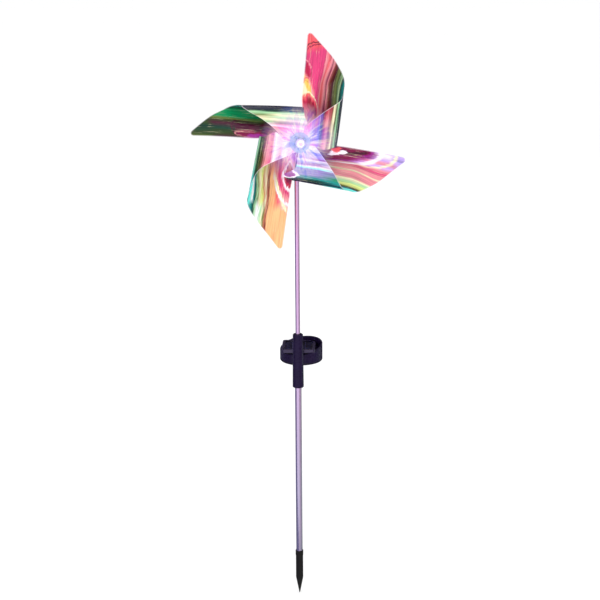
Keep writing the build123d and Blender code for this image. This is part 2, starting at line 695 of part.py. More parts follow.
# ---- nodes ----
def make_nodes():
    pole = {
        "ground_spike": ground_spike(),
        "lower_tube": pipe(LOWER_TUBE_R, LOWER_TUBE_BORE_R, *LOWER_TUBE_Z),
        "upper_tube": pipe(UPPER_TUBE_R, UPPER_TUBE_BORE_R, *UPPER_TUBE_Z),
        "solar_housing": solar_housing(),
        "case_base": case_base(),
        "case_seal": case_seal(),
        "case_screws": case_screws(),
    }
    panel = {
        "panel_frame": panel_frame(),
        "solar_cell": solar_cell(),
        "cell_busbars": cell_busbars(),
        "panel_window": panel_window(),
        "light_sensor": light_sensor(),
    }
    inside = {
        "circuit_board": circuit_board(),
        "control_chip": control_chip(),
        "inductor": inductor(),
        "battery_holder": battery_holder(),
        "rechargeable_cell": rechargeable_cell(),
        "battery_contact": battery_contact(),
        "battery_spring": battery_spring(),
        "switch_body": switch_body(),
        "switch_button": switch_button(),
        "lower_lead": lower_lead(),
    }
    sleeve_back, sleeve_front = -SLEEVE_Y[0], -SLEEVE_Y[1]
    head = {
        "head_body": head_body(),
        "head_rear_cap": head_rear_cap(),
        "axle_tube": axle_tube(),
        "rear_washer": washer(sleeve_back - END_GAP - WASHER_T),
        "front_washer": washer(sleeve_front + END_GAP),
        "axle_collar": axle_collar(),
        "led_board": led_board(),
        "leds": leds(),
        "light_cap": light_cap(),
        "upper_lead": upper_lead(),
    }
    rotor = {
        "rotor_sleeve": rotor_sleeve(),
        "rear_bush": bush(sleeve_back),
        "front_bush": bush(sleeve_front - BUSH_L),
        "hub_back_plate": hub_plate(FILM_BACK_Y, 1),
        "hub_front_plate": hub_plate(FILM_FRONT_Y, -1),
        "back_pins": pins(FILM_BACK_Y, 1),
        "front_pins": pins(FILM_FRONT_Y, -1),
    }
    film = blade()
    blades = {name: at_rest(film, quarter) for quarter, name in enumerate(BLADE_NAMES)}
    return {**pole, **panel, **inside, **head, **rotor, **blades}


os.makedirs("parts", exist_ok=True)
nodes = make_nodes()
for name, shape in nodes.items():
    export_step(shape, f"parts/{name}.step")
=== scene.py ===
import json
import math

import bpy
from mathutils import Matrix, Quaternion, Vector


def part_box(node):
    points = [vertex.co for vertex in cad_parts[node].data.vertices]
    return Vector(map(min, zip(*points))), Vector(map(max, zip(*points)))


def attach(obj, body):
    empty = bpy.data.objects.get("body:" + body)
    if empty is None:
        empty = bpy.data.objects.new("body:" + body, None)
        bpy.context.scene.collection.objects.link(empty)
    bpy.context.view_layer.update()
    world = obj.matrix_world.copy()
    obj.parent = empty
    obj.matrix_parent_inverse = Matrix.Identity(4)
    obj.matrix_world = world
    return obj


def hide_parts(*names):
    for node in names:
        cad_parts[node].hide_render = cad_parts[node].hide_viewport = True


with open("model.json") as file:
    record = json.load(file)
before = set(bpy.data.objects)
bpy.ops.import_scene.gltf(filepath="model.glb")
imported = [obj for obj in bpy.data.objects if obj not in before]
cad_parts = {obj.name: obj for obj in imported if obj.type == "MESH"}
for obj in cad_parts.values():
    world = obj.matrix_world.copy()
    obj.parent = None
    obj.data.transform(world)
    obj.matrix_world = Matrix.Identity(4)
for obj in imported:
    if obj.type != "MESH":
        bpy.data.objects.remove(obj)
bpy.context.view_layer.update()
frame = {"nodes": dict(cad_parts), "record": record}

MM = 0.001


# ---- places worked out from the frame ----
SLEEVE_LOW, SLEEVE_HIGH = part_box("rotor_sleeve")
HUB_Z = ((Vector(SLEEVE_LOW) + Vector(SLEEVE_HIGH)) / 2).z
FILM_T = 0.4 * MM
FILM_BACK_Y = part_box("hub_back_plate")[0][1] - FILM_T / 2
FILM_FRONT_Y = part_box("hub_front_plate")[1][1] + FILM_T / 2
CURL_FRONT, CURL_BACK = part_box("blade_top")[0][1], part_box("blade_top")[1][1]
CURL_R = (CURL_BACK - CURL_FRONT - FILM_T) / 2
CURL_Y = (CURL_BACK + CURL_FRONT) / 2

# ---- camera ----
CAMERA_AROUND = math.radians(-6.0)    # round from straight in front of the pinwheel
CAMERA_AWAY = 1.785                   # level distance from the pole
CAMERA_Z = 0.924
CAMERA_DOWN = math.radians(16.0)
CAMERA_ROLL = math.radians(-0.4)
CAMERA_YAW = math.radians(0.09865)
CAMERA_LENS = 87.1
SENSOR_WIDTH = 36.0


def make_camera():
    data = bpy.data.cameras.new("camera")
    data.lens = CAMERA_LENS
    data.sensor_width = SENSOR_WIDTH
    camera = bpy.data.objects.new("camera", data)
    bpy.context.collection.objects.link(camera)
    side = math.sin(CAMERA_AROUND) * CAMERA_AWAY
    camera.location = (side, -math.cos(CAMERA_AROUND) * CAMERA_AWAY, CAMERA_Z)
    heading = CAMERA_AROUND - CAMERA_YAW
    level = math.cos(CAMERA_DOWN)
    ahead = Vector((-math.sin(heading) * level, math.cos(heading) * level, -math.sin(CAMERA_DOWN)))
    camera.rotation_mode = "QUATERNION"
    upright = ahead.to_track_quat("-Z", "Y")
    camera.rotation_quaternion = upright @ Quaternion((0, 0, 1), CAMERA_ROLL)
    bpy.context.scene.camera = camera


# ---- shader helpers ----
NOISE_RANGE = (0.3, 0.7)              # where most of a noise texture's values lie
SRGB_KNEE, SRGB_SLOPE = 0.04045, 12.92        # the sRGB curve's straight start
SRGB_LIFT, SRGB_POWER = 0.055, 2.4            # and the power that follows it


def add(tree, kind, inputs=None, **settings):
    """New node with its settings and its inputs, each a value or another node's output."""
    made = tree.nodes.new(kind)
    for name, value in settings.items():
        setattr(made, name, value)
    for name, value in (inputs or {}).items():
        if isinstance(value, bpy.types.NodeSocket):
            tree.links.new(value, made.inputs[name])
        else:
            made.inputs[name].default_value = value
    return made


def maths(tree, operation, a, b=0.0, clamp=False):
    return add(tree, "ShaderNodeMath", {0: a, 1: b}, operation=operation, use_clamp=clamp).outputs[0]


def vector_maths(tree, operation, a, b=(0, 0, 0)):
    return add(tree, "ShaderNodeVectorMath", {0: a, 1: b}, operation=operation).outputs[0]


def part(tree, vector, axis):
    """One of a vector's X, Y and Z values."""
    return add(tree, "ShaderNodeSeparateXYZ", {"Vector": vector}).outputs[axis]


def spread(tree, value, low, high, new_low, new_high):
    """Map a value from one range to another, held at both ends."""
    inputs = {"Value": value, "From Min": low, "From Max": high, "To Min": new_low, "To Max": new_high}
    return add(tree, "ShaderNodeMapRange", inputs).outputs["Result"]


def noisy(tree, value, low, high):
    """Map a noise texture's usual values to another range."""
    return spread(tree, value, *NOISE_RANGE, low, high)


def mixed(tree, factor, a, b, blend="MIX"):
    """Mix of two colours. The node's sockets 0, 6 and 7 are its factor and its two colours."""
    inputs = {0: factor, 6: a, 7: b}
    return add(tree, "ShaderNodeMix", inputs, data_type="RGBA", blend_type=blend).outputs[2]


def grey(tree, share):
    return add(tree, "ShaderNodeCombineColor", {"Red": share, "Green": share, "Blue": share}).outputs[0]


def ramp(tree, factor, stops):
    """Colour ramp through (place, colour) stops."""
    made = add(tree, "ShaderNodeValToRGB", {"Fac": factor})
    band = made.color_ramp
    band.elements[0].position = stops[0][0]
    band.elements[0].color = (*stops[0][1], 1)
    band.elements[1].position = stops[-1][0]
    band.elements[1].color = (*stops[-1][1], 1)
    for place, colour in stops[1:-1]:
        band.elements.new(place).color = (*colour, 1)
    return made.outputs["Color"]


def noise(tree, vector, scale, detail=3.0, roughness=0.55, distortion=0.0):
    inputs = {"Vector": vector, "Scale": scale, "Detail": detail, "Roughness": roughness,
              "Distortion": distortion}
    return add(tree, "ShaderNodeTexNoise", inputs).outputs[0]


def stretched(tree, vector, scale):
    return add(tree, "ShaderNodeMapping", {"Vector": vector, "Scale": scale}).outputs[0]


def new_material(name):
    material = bpy.data.materials.new(name)
    material.use_nodes = True
    tree = material.node_tree
    shader = tree.nodes["Principled BSDF"]
    place = add(tree, "ShaderNodeTexCoord").outputs["Object"]
    return material, tree, shader, place


def tint(colour, share):
    return tuple(min(1.0, c * share) for c in colour) + (1.0,)


def varied(tree, factor, colour, dark, light):
    """A colour that varies between a darker and a lighter share of itself."""
    return mixed(tree, factor, tint(colour, dark), tint(colour, light))


def bumped(tree, shader, height, strength, distance):
    bump = add(tree, "ShaderNodeBump", {"Height": height, "Strength": strength, "Distance": distance})
    tree.links.new(bump.outputs["Normal"], shader.inputs["Normal"])


def hub_nearness(tree, place, full, none, at_full=1.0, at_none=0.0):
    """A value within full of the rotor's axis that changes evenly to another at none."""
    up = maths(tree, "SUBTRACT", part(tree, place, "Z"), HUB_Z)
    squares = [maths(tree, "POWER", side, 2.0) for side in (part(tree, place, "X"), up)]
    away = maths(tree, "SQRT", maths(tree, "ADD", *squares))
    return spread(tree, away, full, none, at_full, at_none)


# ---- surfaces ----
# Noise and cell scales are per metre. A relief is the distance of a bump.
PLASTIC_CLOUD, PLASTIC_MARKS, PLASTIC_RELIEF = 90.0, 260.0, 0.05 * MM
METAL_PATCHES, METAL_RELIEF = 45.0, 0.03 * MM
LINES_SHARE = 0.6                     # of a metal's gloss that its drawn lines set, the patches the rest
TOP_COLOUR_FROM, TOP_COLOUR_FULL = 0.25 * HUB_Z, 0.8 * HUB_Z
LIT_CLOUD, LIT_GRAIN, LIT_RELIEF = 400.0, 1800.0, 0.04 * MM
CRYSTAL_SCALE, CELL_RELIEF = 260.0, 0.04 * MM
FINGER_GAP, FINGER_SHARE = 1.9 * MM, 0.1      # spacing of a cell's silver lines, and a line's share of it
FINGER_TURN = math.radians(8)
CLEAR_SMEARS, CLEAR_IOR, CLEAR_RELIEF = 120.0, 1.2, 0.05 * MM
TRACK_SCALE, TRACK_SIZE, TRACK_RELIEF = 420.0, 0.28, 0.05 * MM
WHITE = (1, 1, 1)


def moulded(name, colour, rough=0.3, grain=2500.0, relief=0.15, coat=0.0, alpha=1.0, specular=0.5,
            gleam=WHITE):
    """Moulded plastic or rubber: faint cloudy colour, fine grain and handling marks in the gloss.

    gleam is the colour of its reflections.
    """
    material, tree, shader, place = new_material(name)
    cloud = noise(tree, place, PLASTIC_CLOUD)
    tree.links.new(varied(tree, cloud, colour, 0.75, 1.3), shader.inputs["Base Color"])
    marks = noise(tree, place, PLASTIC_MARKS, 5.0, 0.65)
    tree.links.new(noisy(tree, marks, rough * 0.75, rough * 1.35), shader.inputs["Roughness"])
    shader.inputs["Specular IOR Level"].default_value = specular
    shader.inputs["Specular Tint"].default_value = (*gleam, 1)
    shader.inputs["Coat Weight"].default_value = coat
    shader.inputs["Coat Roughness"].default_value = 0.08
    shader.inputs["Alpha"].default_value = alpha
    bumped(tree, shader, noise(tree, place, grain, 2.0), relief, PLASTIC_RELIEF)
    return material


def drawn_metal(name, colour, rough, along, metallic=1.0, top=None):
    """Drawn tube or turned metal, with fine lines along one axis and small dull patches.

    top is a second colour, which it has from the pole's upper end downwards.
    """
    material, tree, shader, place = new_material(name)
    lines = noise(tree, stretched(tree, place, along), 1.0, 4.0, 0.7)
    shade = varied(tree, lines, colour, 0.8, 1.15)
    if top:
        upper = varied(tree, lines, top, 0.8, 1.15)
        risen = spread(tree, part(tree, place, "Z"), TOP_COLOUR_FROM, TOP_COLOUR_FULL, 0.0, 1.0)
        shade = mixed(tree, risen, shade, upper)
    tree.links.new(shade, shader.inputs["Base Color"])
    patches = noise(tree, place, METAL_PATCHES, 4.0)
    both = maths(tree, "ADD", maths(tree, "MULTIPLY", lines, LINES_SHARE),
                 maths(tree, "MULTIPLY", patches, 1 - LINES_SHARE))
    tree.links.new(noisy(tree, both, rough * 0.7, rough * 1.4), shader.inputs["Roughness"])
    shader.inputs["Metallic"].default_value = metallic
    bumped(tree, shader, lines, 0.12, METAL_RELIEF)
    return material


def lit_plastic(name, rim, core, reach, strength):
    """Diffusing plastic lit from inside, with its colour changing away from the rotor's axis."""
    material, tree, shader, place = new_material(name)
    share = hub_nearness(tree, place, 0.0, reach, 0.0, 1.0)
    cloud = noise(tree, place, LIT_CLOUD)
    share = maths(tree, "ADD", share, noisy(tree, cloud, -0.08, 0.08), True)
    colour = ramp(tree, share, ((0.0, core), (0.25, core), (0.45, WHITE), (0.75, rim), (1.0, rim)))
    tree.links.new(colour, shader.inputs["Base Color"])
    tree.links.new(colour, shader.inputs["Emission Color"])
    shader.inputs["Emission Strength"].default_value = strength
    shader.inputs["Roughness"].default_value = 0.35
    shader.inputs["Subsurface Weight"].default_value = 0.2
    shader.inputs["Subsurface Scale"].default_value = 2 * MM
    bumped(tree, shader, noise(tree, place, LIT_GRAIN), 0.1, LIT_RELIEF)
    return material


def silicon(name):
    """Solar cell: dark blue crystal flakes under fine silver lines."""
    material, tree, shader, place = new_material(name)
    inputs = {"Vector": place, "Scale": CRYSTAL_SCALE, "Randomness": 1.0}
    flakes = add(tree, "ShaderNodeTexVoronoi", inputs)
    shade = add(tree, "ShaderNodeSeparateColor", {"Color": flakes.outputs["Color"]}).outputs[0]
    crystal = ramp(tree, shade, ((0.0, (0.006, 0.008, 0.03)), (0.6, (0.012, 0.02, 0.075)),
                                 (1.0, (0.03, 0.05, 0.14))))
    inputs = {"Vector": place, "Rotation": (0, 0, FINGER_TURN)}
    across = part(tree, add(tree, "ShaderNodeMapping", inputs).outputs[0], "Y")
    wave = maths(tree, "FRACT", maths(tree, "MULTIPLY", across, 1 / FINGER_GAP))
    finger = maths(tree, "LESS_THAN", wave, FINGER_SHARE)
    tree.links.new(mixed(tree, finger, crystal, (0.12, 0.13, 0.2, 1)), shader.inputs["Base Color"])
    tree.links.new(spread(tree, shade, 0, 1, 0.3, 0.5), shader.inputs["Roughness"])
    shader.inputs["Specular IOR Level"].default_value = 0.2
    bumped(tree, shader, finger, 0.3, CELL_RELIEF)
    return material


def clear(name, colour, rough):
    """Clear window or lens with faint smears in its gloss."""
    material, tree, shader, place = new_material(name)
    smears = noise(tree, place, CLEAR_SMEARS, 5.0, 0.7)
    tree.links.new(varied(tree, smears, colour, 0.93, 1.0), shader.inputs["Base Color"])
    tree.links.new(spread(tree, smears, 0.35, 0.75, rough, rough * 4 + 0.03), shader.inputs["Roughness"])
    shader.inputs["Transmission Weight"].default_value = 1.0
    shader.inputs["IOR"].default_value = CLEAR_IOR
    bumped(tree, shader, smears, 0.03, CLEAR_RELIEF)
    return material


def board(name, colour):
    """Circuit board: solder mask with copper tracks and pads showing through it."""
    material, tree, shader, place = new_material(name)
    inputs = {"Vector": place, "Scale": TRACK_SCALE, "Randomness": 0.25}
    cells = add(tree, "ShaderNodeTexVoronoi", inputs, distance="MANHATTAN")
    track = maths(tree, "LESS_THAN", cells.outputs["Distance"], TRACK_SIZE)
    tree.links.new(varied(tree, track, colour, 1.0, 2.2), shader.inputs["Base Color"])
    shader.inputs["Roughness"].default_value = 0.35
    bumped(tree, shader, track, 0.3, TRACK_RELIEF)
    return material


# ---- film colours ----
PALETTE = {
    "coral": "ea5560", "rose": "d43c74", "crimson": "b81d48", "wine": "7a0842", "maroon": "450d2b",
    "blood": "960c30", "salmon": "e88d98", "peach": "ffb580", "cream": "f5eac2", "flame": "ffc55c",
    "lime": "d9e884", "mint": "a4d9a6", "olive": "68783a", "moss": "2e421a", "emerald": "0f8a54",
    "pine": "08382c", "teal": "14908f", "cyan": "62ebe6", "navy": "0e1430", "violet": "6440c0",
    "lilac": "c6a8f4", "plum": "9a248e", "white": "fff4ff", "brown": "74332a", "rust": "bd6650",
    "slate": "8d80bc",
}


def linear(name):
    """Linear colour of a palette name."""
    code = PALETTE[name]
    shares = [int(code[k:k + 2], 16) / 255 for k in (0, 2, 4)]
    return tuple(c / SRGB_SLOPE if c < SRGB_KNEE else ((c + SRGB_LIFT) / (1 + SRGB_LIFT)) ** SRGB_POWER
                 for c in shares)


# Each film has colour bands across it, as (share of the film from its back edge, colour): near the hub,
# in the middle, and at the tip from the height share tip_from up. The bands are partly the film's own
# iridescent colours and partly painted reflections, running along the curl as its reflections do; the
# narrow white bands and the white patches and lines are painted highlights. Patches are filled ovals and
# lines are the outward half of an oval's outline, both as (share, height share, half width, half height,
# lean in degrees, colour), with later ones on top. skew slants the bands across the film towards its tip.
FILMS = {
    "film_rose": {
        "near": ((0.0, "rose"), (0.06, "crimson"), (0.14, "coral"), (0.22, "salmon"), (0.28, "wine"),
                 (0.34, "brown"), (0.4, "olive"), (0.46, "pine"), (0.55, "navy"), (0.62, "navy"),
                 (0.64, "mint"), (0.66, "moss"), (0.69, "cream"), (0.71, "brown"), (0.74, "salmon"),
                 (0.77, "crimson"), (0.8, "navy"), (0.83, "violet"), (0.86, "plum"), (0.9, "violet"),
                 (0.94, "coral"), (1.0, "lilac")),
        "middle": ((0.0, "wine"), (0.03, "rose"), (0.12, "rose"), (0.17, "rose"), (0.19, "salmon"),
                   (0.21, "coral"), (0.25, "salmon"), (0.275, "wine"), (0.29, "salmon"), (0.31, "brown"),
                   (0.35, "maroon"), (0.38, "olive"), (0.41, "moss"), (0.43, "mint"), (0.445, "pine"),
                   (0.5, "teal"), (0.55, "navy"), (0.62, "navy"), (0.64, "mint"), (0.66, "moss"),
                   (0.69, "cream"), (0.71, "brown"), (0.75, "crimson"), (0.79, "navy"), (0.83, "violet"),
                   (0.88, "plum"), (1.0, "lilac")),
        "tip": ((0.0, "coral"), (0.1, "coral"), (0.16, "coral"), (0.2, "salmon"), (0.26, "brown"),
                (0.3, "maroon"), (0.36, "olive"), (0.42, "mint"), (0.5, "cyan"), (0.6, "teal"),
                (1.0, "navy")),
        "patches": ((0.03, 0.62, 0.03, 0.1, 12, "crimson"),
                    (0.03, 0.45, 0.085, 0.16, 22, "salmon"), (0.02, 0.46, 0.07, 0.13, 22, "flame"),
                    (0.01, 0.44, 0.04, 0.09, 18, "cream"), (0.085, 0.29, 0.085, 0.15, 25, "coral"),
                    (0.09, 0.27, 0.07, 0.13, 25, "crimson"), (0.095, 0.31, 0.04, 0.06, 30, "blood")),
        "lines": ((0.11, 0.78, 0.12, 0.115, 0, "maroon"), (0.12, 0.775, 0.11, 0.1, 0, "wine"),
                  (0.09, 0.29, 0.09, 0.155, 25, "cream"), (0.05, 0.45, 0.06, 0.12, 20, "coral"),
                  (0.03, 0.48, 0.03, 0.07, 20, "rust"), (0.02, 0.6, 0.06, 0.13, 20, "salmon")),
        "tip_from": 0.82,
    },
    "film_emerald": {
        "near": ((0.0, "salmon"), (0.06, "crimson"), (0.15, "wine"), (0.25, "olive"), (0.35, "emerald"),
                 (0.44, "pine"), (0.5, "navy"), (0.61, "navy"), (0.63, "pine"), (0.65, "mint"),
                 (0.69, "cream"), (0.72, "mint"), (0.76, "cream"), (0.8, "olive"), (0.83, "salmon"),
                 (0.85, "white"), (0.865, "coral"), (0.9, "salmon"), (0.95, "rose"), (1.0, "lilac")),
        "middle": ((0.0, "maroon"), (0.05, "moss"), (0.1, "pine"), (0.14, "maroon"), (0.18, "moss"),
                   (0.2, "olive"), (0.23, "emerald"), (0.29, "emerald"), (0.36, "emerald"),
                   (0.41, "pine"), (0.45, "teal"), (0.49, "navy"), (0.61, "navy"), (0.63, "pine"),
                   (0.655, "mint"), (0.7, "olive"), (0.74, "cream"), (0.8, "mint"), (0.83, "white"),
                   (0.87, "salmon"), (1.0, "lilac")),
        "tip": ((0.0, "olive"), (0.03, "moss"), (0.1, "pine"), (0.14, "moss"), (0.2, "pine"),
                (0.24, "moss"), (0.3, "emerald"), (0.38, "pine"), (0.44, "teal"), (0.55, "navy"),
                (1.0, "navy")),
        "patches": ((0.04, 0.42, 0.1, 0.17, -30, "maroon"), (0.03, 0.41, 0.06, 0.15, -25, "wine"),
                    (0.01, 0.38, 0.035, 0.1, -15, "plum")),
        "lines": ((0.05, 0.42, 0.12, 0.19, -30, "maroon"), (0.04, 0.45, 0.03, 0.13, -20, "salmon")),
        "tip_from": 0.78,
    },
    "film_plum": {
        "near": ((0.0, "cream"), (0.03, "rose"), (0.06, "violet"), (0.12, "plum"), (0.19, "wine"),
                 (0.24, "white"), (0.28, "slate"), (0.34, "teal"), (0.43, "pine"), (0.52, "navy"),
                 (0.6, "navy"), (0.63, "pine"), (0.66, "teal"), (0.7, "slate"), (0.75, "slate"),
                 (0.765, "cyan"), (0.775, "white"), (0.79, "plum"), (0.82, "slate"), (0.84, "white"),
                 (0.855, "plum"), (0.88, "lilac"), (0.92, "violet"), (0.95, "white"), (1.0, "lilac")),
        "middle": ((0.0, "lilac"), (0.03, "white"), (0.06, "lilac"), (0.1, "salmon"), (0.13, "lilac"),
                   (0.16, "salmon"), (0.19, "rose"), (0.21, "salmon"), (0.25, "salmon"), (0.27, "cream"),
                   (0.28, "salmon"), (0.34, "salmon"), (0.36, "cream"), (0.38, "mint"), (0.42, "lime"),
                   (0.44, "olive"),
                   (0.46, "navy"), (0.48, "cyan"), (0.57, "cyan"), (0.6, "navy"), (0.65, "teal"),
                   (0.7, "emerald"), (0.74, "slate"), (0.8, "white"), (0.85, "plum"), (1.0, "lilac")),
        "tip": ((0.0, "slate"), (0.02, "lilac"), (0.05, "slate"), (0.08, "lilac"), (0.13, "salmon"),
                (0.26, "coral"), (0.34, "mint"), (0.42, "lime"), (0.5, "cyan"), (0.6, "cyan"),
                (1.0, "teal")),
        "patches": ((0.0, 0.27, 0.175, 0.46, 0, "plum"), (0.0, 0.28, 0.15, 0.42, 0, "wine"),
                    (0.03, 0.45, 0.05, 0.18, 8, "maroon"), (0.01, 0.42, 0.03, 0.2, 4, "wine"),
                    (0.065, 0.36, 0.024, 0.09, 30, "white"), (0.045, 0.34, 0.026, 0.05, 20, "coral"),
                    (0.67, -0.05, 0.05, 0.08, 0, "white"), (0.675, -0.06, 0.035, 0.055, 0, "plum")),
        "lines": ((0.0, 0.27, 0.19, 0.48, 0, "white"), (0.03, 0.42, 0.06, 0.25, 9, "plum"),
                  (0.02, 0.58, 0.14, 0.3, 0, "cream")),
        "tip_from": 0.86,
    },
    "film_amber": {
        "near": ((0.0, "plum"), (0.03, "wine"), (0.08, "crimson"), (0.16, "coral"), (0.23, "salmon"),
                 (0.28, "lime"), (0.36, "mint"), (0.42, "olive"), (0.48, "teal"), (0.52, "mint"),
                 (0.55, "pine"), (0.58, "moss"), (0.61, "brown"), (0.64, "salmon"), (0.68, "rose"),
                 (0.71, "white"), (0.78, "salmon"), (0.82, "white"), (0.88, "salmon"), (0.91, "white"),
                 (1.0, "lilac")),
        "middle": ((0.0, "salmon"), (0.05, "white"), (0.08, "salmon"), (0.12, "coral"),
                   (0.15, "peach"), (0.215, "peach"), (0.225, "brown"), (0.245, "rust"), (0.26, "cream"),
                   (0.28, "rust"), (0.3, "lime"), (0.32, "cream"), (0.34, "olive"), (0.35, "mint"),
                   (0.36, "pine"), (0.385, "teal"), (0.4, "white"), (0.42, "cyan"), (0.46, "cyan"),
                   (0.49, "pine"), (0.51, "cyan"), (0.55, "pine"), (0.58, "moss"), (0.62, "salmon"),
                   (0.67, "white"), (1.0, "white")),
        "tip": ((0.0, "peach"), (0.1, "peach"), (0.2, "peach"), (0.215, "peach"), (0.225, "brown"),
                (0.245, "rust"), (0.265, "olive"), (0.28, "cream"), (0.3, "mint"), (0.33, "white"),
                (0.36, "mint"), (0.38, "pine"), (0.42, "teal"), (0.5, "cyan"), (0.6, "teal"),
                (1.0, "teal")),
        "patches": ((0.03, 0.34, 0.14, 0.22, 20, "salmon"), (0.03, 0.33, 0.1, 0.18, 20, "rose"),
                    (0.0, 0.33, 0.065, 0.13, 10, "white"), (0.0, 0.32, 0.05, 0.11, 10, "crimson"),
                    (0.0, 0.33, 0.03, 0.06, 0, "wine"), (0.09, 0.49, 0.024, 0.16, 72, "cream")),
        "lines": ((0.03, 0.34, 0.145, 0.23, 20, "white"), (0.09, 0.49, 0.03, 0.18, 72, "salmon")),
        "skew": 0.16,
        "tip_from": 0.6,
    },
}


# Noise scales across and along the film.
DRIFT_SCALE, STREAK_SCALE = (6.0, 2.0, 1.0), (100.0, 2.6, 1.0)
# The second scale here is that of the painted glints, fine cream highlight lines along the film.
TORN_SCALE, PAINTED_GLINT_SCALE = (20.0, 8.0, 1.0), (150.0, 3.0, 3.0)
SKEW_FROM, SKEW_MIDDLE = 0.35, 0.6    # height shares where the skew begins and where it moves nothing
HUB_BANDS_END = (0.2, 0.36)           # height shares between which the bands near the hub give way
TIP_BLEND = 0.03
DRIFT_BY, STREAK_BY = 0.018, 0.012    # how far these noises move the bands, as shares of the film
TORN_ACROSS, TORN_ALONG, DRAWN_ALONG = 0.014, 0.035, 0.01
OVAL_FADE = (1.12, 0.7)               # squared distances between which a patch sets in
LINE_FADE, LINE_SHARE = (0.05, 0.16), 0.85
LINE_FROM, LINE_FULL = -0.5, 0.4      # shares of an oval's half height between which its line sets in
CUT_EDGE = (0.5 * MM, 1.2 * MM)       # distances from the cut edge over which its painted white highlight fades
HUB_GLOW = (10 * MM, 48 * MM)         # distances from the axis over which the painted LED rays and the painted glow fade
HUB_THIN = (16 * MM, 44 * MM)         # distances over which the film turns from see-through to solid
HUB_ALPHA, FILM_ALPHA = 0.36, 0.98
FILM_RELIEF = 0.2 * MM
# Painted LED light on the film near the hub: the rays' detail, scale and colours.
RAY_DETAIL = (14.0, 14.0, 14.0)
RAY_SCALE = 2.2
PAINTED_RAY_COLOURS = ((0.3, (0.1, 0.16, 0.95)), (0.4, (0.3, 0.42, 1.0)), (0.45, (0.92, 0.9, 1.0)),
        (0.5, (0.62, 0.55, 1.0)), (0.54, (1.0, 0.96, 1.0)), (0.6, (0.66, 0.28, 1.0)),
        (0.7, (1.0, 0.66, 0.94)))


def oval(tree, u, v, place, lean):
    """Squared distance from the middle of a leaning oval on the film, 1 along its outline."""
    mid_u, mid_v, half_u, half_v = place
    slant = math.tan(math.radians(lean)) * half_u / half_v
    du = maths(tree, "SUBTRACT", u, mid_u)
    dv = maths(tree, "SUBTRACT", v, mid_v)
    leaning = maths(tree, "ADD", du, maths(tree, "MULTIPLY", dv, slant))
    across = maths(tree, "POWER", maths(tree, "MULTIPLY", leaning, 1 / half_u), 2.0)
    along = maths(tree, "POWER", maths(tree, "MULTIPLY", dv, 1 / half_v), 2.0)
    return maths(tree, "ADD", across, along)


def film_bands(tree, look, waved, v, drift):
    """The film's three sets of bands, each fading into the next outwards."""
    hub, middle, tip = [ramp(tree, waved, [(place, linear(name)) for place, name in look[zone]])
                        for zone in ("near", "middle", "tip")]
    colour = mixed(tree, spread(tree, v, *HUB_BANDS_END, 0.0, 1.0), hub, middle)
    far = maths(tree, "ADD", v, noisy(tree, drift, -0.05, 0.05))
    start = look["tip_from"]
    return mixed(tree, spread(tree, far, start - TIP_BLEND, start + TIP_BLEND, 0.0, 1.0), colour, tip)


def film_ovals(tree, look, colour, flat, waved, v):
    """The film's patches with torn edges, then its lines."""
    torn = noise(tree, stretched(tree, flat, TORN_SCALE), 1.0, 4.0, 0.6)
    torn_u = maths(tree, "ADD", waved, noisy(tree, torn, -TORN_ACROSS, TORN_ACROSS))
    torn_v = maths(tree, "ADD", v, noisy(tree, torn, TORN_ALONG, -TORN_ALONG))
    drawn_v = maths(tree, "ADD", v, noisy(tree, torn, DRAWN_ALONG, -DRAWN_ALONG))
    for *place, lean, name in look["patches"]:
        inside = spread(tree, oval(tree, torn_u, torn_v, place, lean), *OVAL_FADE, 0.0, 1.0)
        colour = mixed(tree, inside, colour, (*linear(name), 1))
    for *place, lean, name in look["lines"]:
        off = maths(tree, "SUBTRACT", oval(tree, waved, drawn_v, place, lean), 1.0)
        line = spread(tree, maths(tree, "ABSOLUTE", off), *LINE_FADE, LINE_SHARE, 0.0)
        mid_v, half_v = place[1], place[3]
        outer = spread(tree, v, mid_v + LINE_FROM * half_v, mid_v + LINE_FULL * half_v, 0.0, 1.0)
        colour = mixed(tree, maths(tree, "MULTIPLY", line, outer), colour, (*linear(name), 1))
    return colour


def painted_led_rays(tree, place):
    """Painted LED light: blue, violet and white rays that run outwards from the rotor's axis."""
    centred = vector_maths(tree, "SUBTRACT", place, (0, 0, HUB_Z))
    level = vector_maths(tree, "MULTIPLY", centred, (1, 0, 1))
    outwards = vector_maths(tree, "NORMALIZE", level)
    swirl = vector_maths(tree, "ADD", outwards, stretched(tree, place, RAY_DETAIL))
    return ramp(tree, noise(tree, swirl, RAY_SCALE), PAINTED_RAY_COLOURS)


